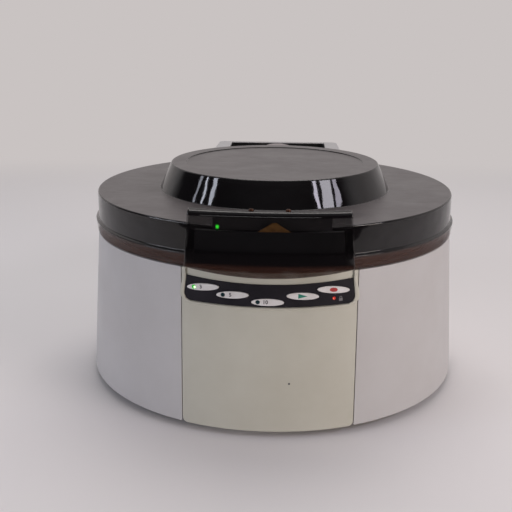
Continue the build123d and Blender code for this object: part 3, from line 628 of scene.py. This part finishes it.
def gripSections(size, inset, foot):
    # the block in slices across its width; each slice is its side view, an L with the visor as its upright
    slope = (size["halfLow"] - size["halfTop"]) / (size["top"] - size["sideHeight"])
    shelf = lidSize["ringHeight"] - 0.04 - inset  # a hair below the ring's top, which hides the joint
    inner = size["inside"] + inset * 0.3
    crown = size["crown"] - inset
    turns = [math.radians(15 * k) for k in range(7)]  # a quarter turn
    arc = [(size["top"] - inset - crown * (1 - math.sin(t)), crown * (1 - math.cos(t))) for t in turns]
    sections = []
    for i in range(size["columns"] + 1):
        across = 2 * i / size["columns"] - 1

        def corner(kind, height, inward=0.0):
            half = size["halfLow"] - inset - slope * (height - size["sideHeight"])
            x = across * half
            if kind == "front":
                y = bow(x, size["bowHalf"], size["front"], size["frontSide"]) + inset + inward
            elif kind == "visor":
                y = bow(x, size["bowHalf"], size["back"], size["backSide"]) - inset - inward
            else:
                y = -math.sqrt(inner ** 2 - x ** 2)
            return at(x, y, height)

        low = foot or bow(across * size["halfLow"], size["halfLow"], lidSize["skirtFoot"], size["sideHeight"])
        over = [corner("front", height, inward) for height, inward in arc]
        back = [corner("visor", height, inward) for height, inward in reversed(arc)]
        sections.append([corner("front", low)] + over + back + [
            corner("visor", shelf), corner("lid", shelf), corner("lid", low)])
    return sections


def windowSections(size):
    front, back = -lidSize["ring"] - 4, lidSize["ring"] - 5
    sections = []
    for k in range(25):
        x = size["windowHalf"] * (k / 12 - 1)
        inner = -math.sqrt(back ** 2 - x ** 2)
        sections.append([at(x, y, z) for y, z in ((front, size["windowFoot"]), (inner, size["windowFoot"]),
                                                  (inner, size["windowTop"]), (front, size["windowTop"]))])
    return sections


def makeLid():
    lid = turned("lid_moulding", lidOutline(lidSize), lidSize["columns"])
    grip = swept("grip", gripSections(gripSize, 0, None))
    soften(grip, gripSize["edge"], steps=3, angle=50)
    carve(lid, grip, "UNION")
    carve(lid, swept("hollow", gripSections(gripSize, gripSize["wall"], gripSize["hollowFoot"])))
    carve(lid, swept("window", windowSections(gripSize)))
    finishPiece(lid, "lid", "smoked_lid", replaced=["lid_shell"])
    # painted light: the charcoal strip behind the visor lightens what shows through it
    strip = blockBetween("visor_strip", stripSize["low"], stripSize["high"])
    finishPiece(strip, "lid", "black_plastic", edge=stripSize["edge"], finish=finishes["charcoal_painted_light"])


makeLid()
print("lid made")


# screws: pan heads with a cross recess, one mesh for each set

screwSets = {  # sizes in mm; each place is the underside of a head
    "deck_cross_screws": {
        "head": 2.6, "high": 0.8, "shank": 1.5, "length": 6, "body": "base", "node": "deck_screws",
        "slot": "zinc_steel", "places": [(154.5 * math.cos(t), 154.5 * math.sin(t), 133.0)
                                         for t in (math.radians(22.5 + 45 * i) for i in range(8))]},
    "foot_cross_screws": {
        "head": 4.0, "high": 2.4, "shank": 2.0, "length": 6, "body": "base", "node": "foot_screws",
        "slot": "zinc_steel", "places": [(x, y, 8.5) for x in (-104, 104) for y in (-104, 104)]},
    "hinge_cross_screws": {
        "head": 2.8, "high": 1.7, "shank": 1.5, "length": 3.2, "body": "lid", "node": "lid_screws",
        "slot": "zinc_steel", "places": [(x, y, 172.9) for x in (-9, 9) for y in (139.5, 145.5)]},
    "visor_cross_screws": {
        "head": 2.1, "high": 1.3, "shank": 1.1, "length": 2.0, "body": "lid", "node": "lid_screws",
        "slot": "yellow_steel", "finish": "brown_steel",
        "places": [(x, -170.2, 185.0) for x in (-13.6, 13.6)]},
}


headShape = {  # shares of a head's radius and height
    "columns": 28,
    "shoulder": (0.94, 0.55),
    "flat": 0.55,             # radius of its level middle
    "corners": (0.25, 0.3),   # radii at the shoulder and at the flat's edge
    "recess": (0.52, 0.13, 0.7),  # half an arm's length and width, and the depth
}


def crossHeads(name, size):
    head, high, shank = size["head"], size["high"], size["shank"]
    (shoulderOut, shoulderUp), (lowCorner, highCorner) = headShape["shoulder"], headShape["corners"]
    arm, bar, deep = (share * measure for share, measure in zip(headShape["recess"], (head, head, high)))
    shape = bmesh.new()
    for x, y, z in size["places"]:
        foot, top = z - size["length"], z + high
        points = [(0, foot), (shank, foot), (shank, z), (head, z),
                  (head * shoulderOut, z + high * shoulderUp), (head * headShape["flat"], top), (0, top)]
        outline = rounded(points, {4: head * lowCorner, 5: head * highCorner}, 3)
        screw = turned("screw", outline, headShape["columns"])
        for half, side in ((arm, bar), (bar, arm)):
            carve(screw, blockBetween("slot", (-half, -side, top - deep), (half, side, top + 1)))
        screw.data.transform(Matrix.Translation(Vector((x, y, 0)) * mm))
        shape.from_mesh(screw.data)
        bpy.data.objects.remove(screw)
    mesh = bpy.data.meshes.new(name)
    shape.to_mesh(mesh)
    shape.free()
    finishPiece(pieceFrom(name, mesh), size["body"], size["slot"], replaced=[size["node"]],
                finish=finishes.get(size.get("finish")))


for name, size in screwSets.items():
    crossHeads(name, size)
print("screws made")


# prints: marks on the key caps and the overlay, numbers on the rotor, and the switch's two marks on the back

drumSize = {"topRadius": 161.6, "footRadius": 170.0, "top": 133.8, "foot": 6.0}
draft = math.atan2(drumSize["footRadius"] - drumSize["topRadius"], drumSize["top"] - drumSize["foot"])
printLook = {
    "thick": 0.03,            # how far a print stands up, mm
    "bold": 0.14,             # how much a numeral's strokes are widened
    "faceOut": 1.7,           # from the middle of a key cap to its face
    "turnBack": 0.3,          # each cap is turned back by this share of its angle round the drum
    "keyHigh": 2.8,
    "keyAt": -1.7,            # along the cap, beside its lamp
    "startMark": [(-3.6, -1.9), (3.6, 0), (-3.6, 1.9)],
    "stopMark": (3.2, 1.7),   # half its length and height
    "lockAt": (55.4, 112.6, -0.52),  # across, up and out of the drum's skin
    "pinholeAt": (16.6, 45.9, 0),
    "pinhole": 0.85,
    "rotorHigh": 4.6,
    "rotorReach": 56.5,       # mm from the axis, one number beside each carrier
    "rotorTop": 152.0,
    "switchHigh": 5.0,
    # each with its place across the back and up it
    "switchMarks": {"switch_on_mark": ("I", 48.0, 58.0), "switch_off_mark": ("O", 48.0, 46.0)},
    "backFace": 213.0,
}
inkColours = {
    "greyInk": ("greyScreenInk", "#25232B", "#3A3840", (0.4, 0.5)),
    "tealInk": ("tealScreenInk", "#1C7F6B", "#146A5A", (0.35, 0.45)),
    "redInk": ("redScreenInk", "#B0201F", "#98191A", (0.35, 0.45)),
    "dimInk": ("dimGreyScreenInk", "#6A686C", "#59575B", (0.4, 0.5)),
}
# screen-printed ink: flat colour, a little glossier than the film it lies on
inks = {key: mouldedPlastic(name, {
    "colour": colour, "worn": worn, "grain": 0.3, "patch": 2, "depth": 0.004, "rough": rough})
    for key, (name, colour, worn, rough) in inkColours.items()}


def frameOf(along, up, outward, middle):
    face = Matrix((along, up, outward)).transposed().to_4x4()
    face.translation = middle
    return face


def capFace(node):
    # a frame on the outer face of a cap: x along it, y up it, z out of the drum
    low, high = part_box(node)
    middle = (low + high) / 2
    turn = math.atan2(middle.x, -(middle.y - axisY * mm))
    along = Vector((math.cos(turn), math.sin(turn), 0))
    outward = Vector((math.sin(turn) * math.cos(draft), -math.cos(turn) * math.cos(draft), math.sin(draft)))
    face = frameOf(along, outward.cross(along), outward, middle + outward * printLook["faceOut"] * mm)
    return face @ Matrix.Rotation(-turn * printLook["turnBack"], 4, "Z")


def skinPlace(x, z, out):
    # a place on the drum's front skin, x across and z up, lifted by out
    fall = (drumSize["top"] - z) / (drumSize["top"] - drumSize["foot"])
    radius = drumSize["topRadius"] + (drumSize["footRadius"] - drumSize["topRadius"]) * fall
    turn = math.asin(x / radius)
    radius += out
    return at(radius * math.sin(turn), -radius * math.cos(turn), z + out * math.sin(draft))


def skinFace(x, z, out):
    # a frame on the drum's front skin: x along it, y up it, z out of it
    here = skinPlace(x, z, out)
    along = (skinPlace(x + 0.5, z, out) - here).normalized()
    outward = (skinPlace(x, z, out + 1) - here).normalized()
    return frameOf(along, outward.cross(along), outward, here)


def printOn(name, mesh, face, body, ink):
    mesh.transform(face)
    mesh.materials.append(inks[ink])
    piece = pieceFrom(name, mesh)
    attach(piece, body)


def printedMark(name, outlines, face, body, ink, thickness=printLook["thick"]):
    # flat print with a real thickness, from outlines in mm on a face
    verts, faces = [], []
    for outline in outlines:
        faces += cappedFaces(len(outline), 2, len(verts))
        verts += [Vector((x, y, z)) * mm for z in (0, thickness) for x, y in outline]
    printOn(name, meshFrom(name, verts, faces), face, body, ink)


def printedFigure(name, text, face, body, ink, high, along=0):
    # a numeral as a thin solid; its height is 0.7 of the letter size
    thickness = printLook["thick"]
    curve = bpy.data.curves.new(name, "FONT")
    curve.body = text
    curve.size = high * mm / 0.7
    curve.align_x = "CENTER"
    curve.align_y = "CENTER"
    curve.offset = printLook["bold"] * mm
    curve.extrude = thickness * mm / 2
    curve.resolution_u = 4
    written = pieceFrom(name, curve)
    graph = bpy.context.evaluated_depsgraph_get()
    mesh = bpy.data.meshes.new_from_object(written.evaluated_get(graph))
    bpy.data.objects.remove(written)
    lifted = face @ Matrix.Translation(Vector((along, 0, thickness / 2)) * mm)
    printOn(name, mesh, lifted, body, ink)


def ovalOutline(halfLong, halfHigh, count=28):
    turns = [2 * math.pi * k / count for k in range(count)]
    return [(halfLong * math.cos(t), halfHigh * math.sin(t)) for t in turns]


def padlockOutlines():
    # a body and a shackle, each traced as one outline
    body = [(-1.5, -2.0), (1.5, -2.0), (1.5, 0.2), (-1.5, 0.2)]
    turns = [math.radians(15 * k) for k in range(13)]
    outside = [(1.1 * math.cos(t), 0.75 + 1.1 * math.sin(t)) for t in turns]
    inside = [(0.62 * math.cos(t), 0.75 + 0.62 * math.sin(t)) for t in reversed(turns)]
    return [body, [(1.1, 0.26)] + outside + [(-1.1, 0.26), (-0.62, 0.26)] + inside + [(0.62, 0.26)]]


def markKeypad(look):
    for figure in ("3", "5", "10"):
        key = "key_" + figure
        printedFigure("figure_" + figure, figure, capFace(key), key + "_cap", "greyInk",
                      look["keyHigh"], look["keyAt"])
    printedMark("start_mark", [look["startMark"]], capFace("key_start"), "key_start_cap", "tealInk")
    printedMark("stop_mark", [ovalOutline(*look["stopMark"])], capFace("key_stop"), "key_stop_cap", "redInk")
    printedMark("lock_mark", padlockOutlines(), skinFace(*look["lockAt"]), "base", "dimInk")
    # painted shade: the pinhole is a dark grey ink disc on the skin, standing for the shade inside the hole
    printedMark("panel_pinhole_shade", [ovalOutline(look["pinhole"], look["pinhole"], 16)],
                skinFace(*look["pinholeAt"]), "base", "greyInk", 2 * look["thick"])


def markRotor(look):
    upward = Vector((0, 0, 1))
    for i in range(8):
        turn = math.radians(45 * i + 22.5)
        inward = Vector((-math.cos(turn), -math.sin(turn), 0))
        place = at(-look["rotorReach"] * inward.x, -look["rotorReach"] * inward.y, look["rotorTop"])
        face = frameOf(inward.cross(upward), inward, upward, place)
        printedFigure("rotor_number_" + str(i + 1), str(i + 1), face, "rotor", "greyInk",
                      look["rotorHigh"])


def markSwitch(look):
    for name, (text, across, height) in look["switchMarks"].items():
        face = frameOf((-1, 0, 0), (0, 0, 1), (0, 1, 0), at(across, look["backFace"], height))
        printedFigure(name, text, face, "base", "greyInk", look["switchHigh"])


markKeypad(printLook)
markRotor(printLook)
markSwitch(printLook)
print("marks printed")


# hinge pocket, painted shade: a thin black tray let into the housing's top, notched in front for the arm, that
# darkens the pocket where shade falls

pocketSize = {
    "half": 53.5,
    "front": 171.0,
    "back": 206.5,
    "floor": 152.0,
    "top": 177.4,
    "corner": 3.0,
    "wall": 0.7,
    "gap": 0.03,              # between the tray and the housing
    "edge": 0.15,
    "notchHalf": 16.1,
    "notchFoot": 174.8,
}


def makePocketShadeLiner(size):
    def ring(inset, height):
        half, front, back = size["half"] - inset, size["front"] + inset, size["back"] - inset
        outline = rounded([(-half, front), (half, front), (half, back), (-half, back)],
                          {k: size["corner"] - inset for k in range(4)}, 5)
        return [at(x, y, height) for x, y in outline]

    thick = size["gap"] + size["wall"]
    liner = swept("pocket_shade_liner", [
        ring(size["gap"], size["floor"] + size["gap"]), ring(size["gap"], size["top"]),
        ring(thick, size["top"]), ring(thick, size["floor"] + thick)])
    notch = blockBetween("notch", (-size["notchHalf"], size["front"] - 1, size["notchFoot"]),
                         (size["notchHalf"], size["front"] + 3, size["top"] + 1))
    carve(liner, notch)
    finishPiece(liner, "base", "black_plastic", edge=size["edge"])


makePocketShadeLiner(pocketSize)


# front panel: the soft raised lip that runs down both sides of the keypad and along below it

lipSize = {
    "half": 64.5,
    "flare": 1.8,             # each side leans outwards by this much on its way down
    "topSide": 129.5,
    "low": 109.1,
    "middle": 107.3,
    "corner": 5.0,
    "cornerIn": 1.6,          # how far the rounded corner has turned in, and down, by its middle
    "cornerDown": 1.2,
    "away": 0.45,             # from the keypad to the lip
    "wide": 2.0,
    "swell": 1.5,             # wider by this much at the low corners
    "high": 0.5,              # out of the drum's skin
    "sunk": 0.3,              # and into it
    "flank": 0.8,             # below 1 fills the lip's rounded sides
    "skinGap": 0.02,          # its edges end this much under the skin
}


def lipPath(size):
    # (x, z) points down the right side, round the low corner and along to the middle, then mirrored
    half, low, corner, turnIn = size["half"] + size["flare"], size["low"], size["corner"], size["cornerIn"]
    foot, inside = low - size["cornerDown"], half - corner
    path = [(size["half"], size["topSide"]), (half, low + corner - 1)]
    path += [(half - turnIn * k / 4, low + corner - 1 - (corner - 1.4) * (k / 4) ** 0.8) for k in range(1, 5)]
    path += [(half - turnIn - (corner - turnIn) * k / 3, low + 0.4 - 1.6 * (k / 3) ** 1.3)
             for k in range(1, 4)]
    path += [(inside * share, foot - (foot - size["middle"]) * (1 - share ** 2))
             for share in (1 - k / 14 for k in range(1, 15))]
    return path + [(-x, z) for x, z in reversed(path[:-1])]


def makeKeypadLip(size):
    path = lipPath(size)
    half, corner, climbFrom = size["half"] + size["flare"], size["corner"], size["low"] + size["corner"]
    sections = []
    for i, (x, z) in enumerate(path):
        before, after = Vector(path[max(i - 1, 0)]), Vector(path[min(i + 1, len(path) - 1)])
        along = (after - before).normalized()
        outward = Vector((along.y, -along.x))
        if outward.dot(Vector((x, z - size["topSide"]))) < 0:
            outward = -outward
        beside = max(0, (abs(x) - (half - corner)) / corner)
        climb = max(0, (z - climbFrom) / (size["topSide"] - climbFrom))
        wide = size["wide"] + size["swell"] * beside * (1 - 0.7 * climb)  # the swell fades on its way up
        section = []
        for k in range(9):  # over the lip's rounded top, outwards
            spot = Vector((x, z)) + outward * (size["away"] + wide * k / 8)
            rise = size["high"] * math.sin(math.pi * k / 8) ** size["flank"]
            section.append(skinPlace(spot.x, spot.y, rise - size["skinGap"]))
        for share in (1, 0):
            spot = Vector((x, z)) + outward * (size["away"] + wide * share)
            section.append(skinPlace(spot.x, spot.y, -size["sunk"]))
        sections.append(section)
    finishPiece(swept("keypad_lip", sections), "base", "panel_plastic")


makeKeypadLip(lipSize)
print("liner and lip made")


# carried-over pieces: softened edges and their finishes

slotOf = {entry["node"]: entry["material_slot"] for entry in frame["record"]["subparts"]}
edgeOf = {  # mm; a moulded or broken edge where the light would catch it
    "drum_shell": 0.6,
    "front_panel": 0.6,
    "rear_housing": 1.0,
    "hinge_arm": 0.8,
    "keypad_overlay": 0.2,
    "latch_housing": 0.5,
    "rotor_yoke": 0.6,
    "rotor_nut": 0.5,
    "mains_inlet": 0.4,
    "switch_body": 0.4,
    "rubber_feet": 0.8,
    "latch_bracket": 0.15,
    "lid_gasket": 0.0,
    "lamp_lit": 0.2,
    "lamps_dark": 0.2,
    "lamp_lock": 0.2,
}
keyEdge, otherEdge = 0.15, 0.3


def dressFrame():
    for name, node in nodes.items():
        if node.hide_render:
            continue
        node.data.materials.clear()
        node.data.materials.append(finishes["status_green" if name == "status_lamp" else slotOf[name]])
        default = keyEdge if name.startswith("key_") else otherEdge
        soften(node, edgeOf.get(name, default), weld=True)


dressFrame()
print("carried-over pieces finished")


# camera at the photograph's place, in mm and degrees

cameraLook = {
    "place": (13.54, -785.3, 324.8),
    "heading": -2.238,
    "pitch": 16.29,
    "roll": 0.446,
    "lens": 58.99,
}


def makeCamera(look):
    heading, pitch, roll = (math.radians(look[key]) for key in ("heading", "pitch", "roll"))
    ahead = Vector((math.sin(heading), math.cos(heading), 0))
    forward = ahead * math.cos(pitch) - Vector((0, 0, math.sin(pitch)))
    level = Vector((math.cos(heading), -math.sin(heading), 0))
    upward = level.cross(forward)
    right = level * math.cos(roll) + upward * math.sin(roll)
    top = upward * math.cos(roll) - level * math.sin(roll)
    data = bpy.data.cameras.new("camera")
    data.lens = look["lens"]
    data.sensor_width = 36
    camera = bpy.data.objects.new("camera", data)
    bpy.context.scene.collection.objects.link(camera)
    camera.matrix_world = frameOf(right, top, -forward, Vector(look["place"]) * mm)
    bpy.context.scene.camera = camera


makeCamera(cameraLook)
print("camera placed")


# studio: a pale table, a low soft box on each side, one above and behind, a faint fill in front, short
# curtains of light that the dome mirrors as streaks, and a pale wall behind

studio = {
    "pale": "#C9C3C2",        # the backdrop, and the table's far edge
    "room": "#FCFCFF",
    "dim": 0.04,              # the room on the camera's side
    "behind": 0.85,           # the wall behind the object
    "above": 0.3,
    "side": 0.3,              # the wall stands a little to the right
    "wallFrom": (0.05, 0.55),  # share of a direction towards the wall, where the wall begins and is full
    "aboveFrom": (0.45, 0.95),
    "lampsAim": 0.12,         # height above the bench that the lamps look at, m
    "tableHalf": (1.1, 0.86),  # half the table's width and depth, m
    "tableBack": 0.25,        # its middle stands behind the object, m
    "table": "#E6E2E2",
    "fadeFrom": (0.3, 0.99),  # share of the way to its edge where its shadow-free colour begins, and is full
    "boxes": {                # azimuth from straight in front, elevation, distance, width, height, power
        "rightBox": (50, 8, 1.7, 0.9, 0.44, 11.9, "#FFF2E8"),
        "leftBox": (-62, 8, 1.7, 0.9, 0.44, 8.4, "#F2F4FF"),
        "topBox": (174, 68, 1.9, 1.3, 1.3, 13, "#FFFAF6"),
        "frontFill": (-4, 1, 1.7, 1.1, 0.16, 1.7, "#FFFFFF"),
        "rightCurtainA": (47, 34, 1.7, 0.10, 0.26, 1.1, "#F4EEFF"),
        "rightCurtainB": (58, 33, 1.7, 0.26, 0.26, 2.0, "#F8F4FF"),
        "rightCurtainC": (69, 31, 1.7, 0.16, 0.26, 1.0, "#F4EEFF"),
        "leftCurtainA": (-66, 31, 1.7, 0.12, 0.24, 0.9, "#ECF0FF"),
        "leftCurtainB": (-76, 28, 1.7, 0.06, 0.24, 0.5, "#ECF0FF"),
        "leftCurtainC": (-84, 26, 1.7, 0.08, 0.24, 0.3, "#ECF0FF"),
    },
}


def rayKinds(tree):
    # 1 for a ray straight from the camera; 1 for one that left a polished face or passed through a clear one
    path = addNode(tree, "ShaderNodeLightPath").outputs
    mirrored = addNode(tree, "ShaderNodeMath", larger, {
        0: path["Is Glossy Ray"], 1: path["Is Transmission Ray"]})
    return path["Is Camera Ray"], mirrored.outputs[0]


def makeRoom(look):
    world = bpy.data.worlds.new("studio")
    bpy.context.scene.world = world
    world.use_nodes = True
    tree = world.node_tree
    tree.nodes.clear()
    direction = addNode(tree, "ShaderNodeTexCoord").outputs["Generated"]
    axes = addNode(tree, "ShaderNodeSeparateXYZ", inputs={0: direction}).outputs
    toward = addNode(tree, "ShaderNodeMath", timesPlus, {0: axes[0], 1: look["side"], 2: axes[1]}).outputs[0]
    start, end = look["wallFrom"]
    wall = addNode(tree, "ShaderNodeMapRange", eased, {0: toward, 1: start, 2: end}).outputs[0]
    low, high = look["aboveFrom"]
    above = addNode(tree, "ShaderNodeMapRange", eased, {0: axes[2], 1: low, 2: high}).outputs[0]
    strength = addNode(tree, "ShaderNodeMix", numberMix, {
        0: wall, 2: look["dim"], 3: look["behind"]}).outputs[0]
    strength = addNode(tree, "ShaderNodeMix", numberMix, {
        0: above, 2: strength, 3: look["above"]}).outputs[0]
    lit = addNode(tree, "ShaderNodeBackground", inputs={"Color": linear(look["room"]), "Strength": strength})
    seen = addNode(tree, "ShaderNodeBackground", inputs={"Color": linear(look["pale"]), "Strength": 1.0})
    # the backdrop shows its own colour to the camera, and to polished and clear faces that look its way
    direct, mirrored = rayKinds(tree)
    backdrop = addNode(tree, "ShaderNodeMath", times, {0: wall, 1: mirrored}).outputs[0]
    shown = addNode(tree, "ShaderNodeMath", larger, {0: direct, 1: backdrop}).outputs[0]
    mixed = addNode(tree, "ShaderNodeMixShader", inputs={0: shown, 1: lit.outputs[0], 2: seen.outputs[0]})
    addNode(tree, "ShaderNodeOutputWorld", inputs={"Surface": mixed.outputs[0]})


def makeLamps(look):
    for name, (azimuth, elevation, distance, width, height, power, colour) in look["boxes"].items():
        turn, rise = math.radians(azimuth), math.radians(elevation)
        data = bpy.data.lights.new(name, "AREA")
        data.shape = "RECTANGLE"
        data.size = width
        data.size_y = height
        data.energy = power
        data.color = linear(colour)[:3]
        lamp = bpy.data.objects.new(name, data)
        bpy.context.scene.collection.objects.link(lamp)
        away = Vector((math.sin(turn) * math.cos(rise), -math.cos(turn) * math.cos(rise), math.sin(rise)))
        lamp.location = Vector((0, 0, look["lampsAim"])) + away * distance
        lamp.rotation_euler = away.to_track_quat("Z", "Y").to_euler()


def makeTable(look):
    # a rounded rectangle that keeps the object's shadow, and takes the backdrop's colour towards its edge
    (halfX, halfY), back = look["tableHalf"], look["tableBack"]
    rim = []
    for degrees in range(0, 360, 3):
        x, y = math.cos(math.radians(degrees)), math.sin(math.radians(degrees))
        x, y = math.copysign(halfX * abs(x) ** 0.5, x), math.copysign(halfY * abs(y) ** 0.5, y)
        rim.append((x, back + y, 0))
    mesh = bpy.data.meshes.new("floor")
    mesh.from_pydata(rim, [], [list(range(len(rim)))])
    floor = pieceFrom("floor", mesh)
    finish = bpy.data.materials.new("paleFloor")
    finish.use_nodes = True
    tree = finish.node_tree
    tree.nodes.clear()
    place = addNode(tree, "ShaderNodeTexCoord").outputs["Object"]
    share = addNode(tree, "ShaderNodeMapping", inputs={
        "Vector": place, "Location": (0, -back / halfY, 0), "Scale": (1 / halfX, 1 / halfY, 1)}).outputs[0]
    square = addNode(tree, "ShaderNodeVectorMath", times, {0: share, 1: share}).outputs[0]
    far = addNode(tree, "ShaderNodeVectorMath", {"operation": "LENGTH"}, {0: square}).outputs["Value"]
    start, end = look["fadeFrom"]
    fade = addNode(tree, "ShaderNodeMapRange", eased, {0: far, 1: start, 2: end}).outputs[0]
    cloth = addNode(tree, "ShaderNodeBsdfDiffuse", inputs={"Color": linear(look["table"])})
    glow = addNode(tree, "ShaderNodeEmission", inputs={"Color": linear(look["pale"]), "Strength": 1.0})
    direct, mirrored = rayKinds(tree)
    shown = addNode(tree, "ShaderNodeMath", larger, {0: direct, 1: mirrored}).outputs[0]
    shown = addNode(tree, "ShaderNodeMath", times, {0: fade, 1: shown}).outputs[0]
    mixed = addNode(tree, "ShaderNodeMixShader", inputs={0: shown, 1: cloth.outputs[0], 2: glow.outputs[0]})
    addNode(tree, "ShaderNodeOutputMaterial", inputs={"Surface": mixed.outputs[0]})
    mesh.materials.append(finish)


bpy.context.scene.view_settings.view_transform = "Standard"
makeRoom(studio)
makeLamps(studio)
makeTable(studio)
print("studio made")
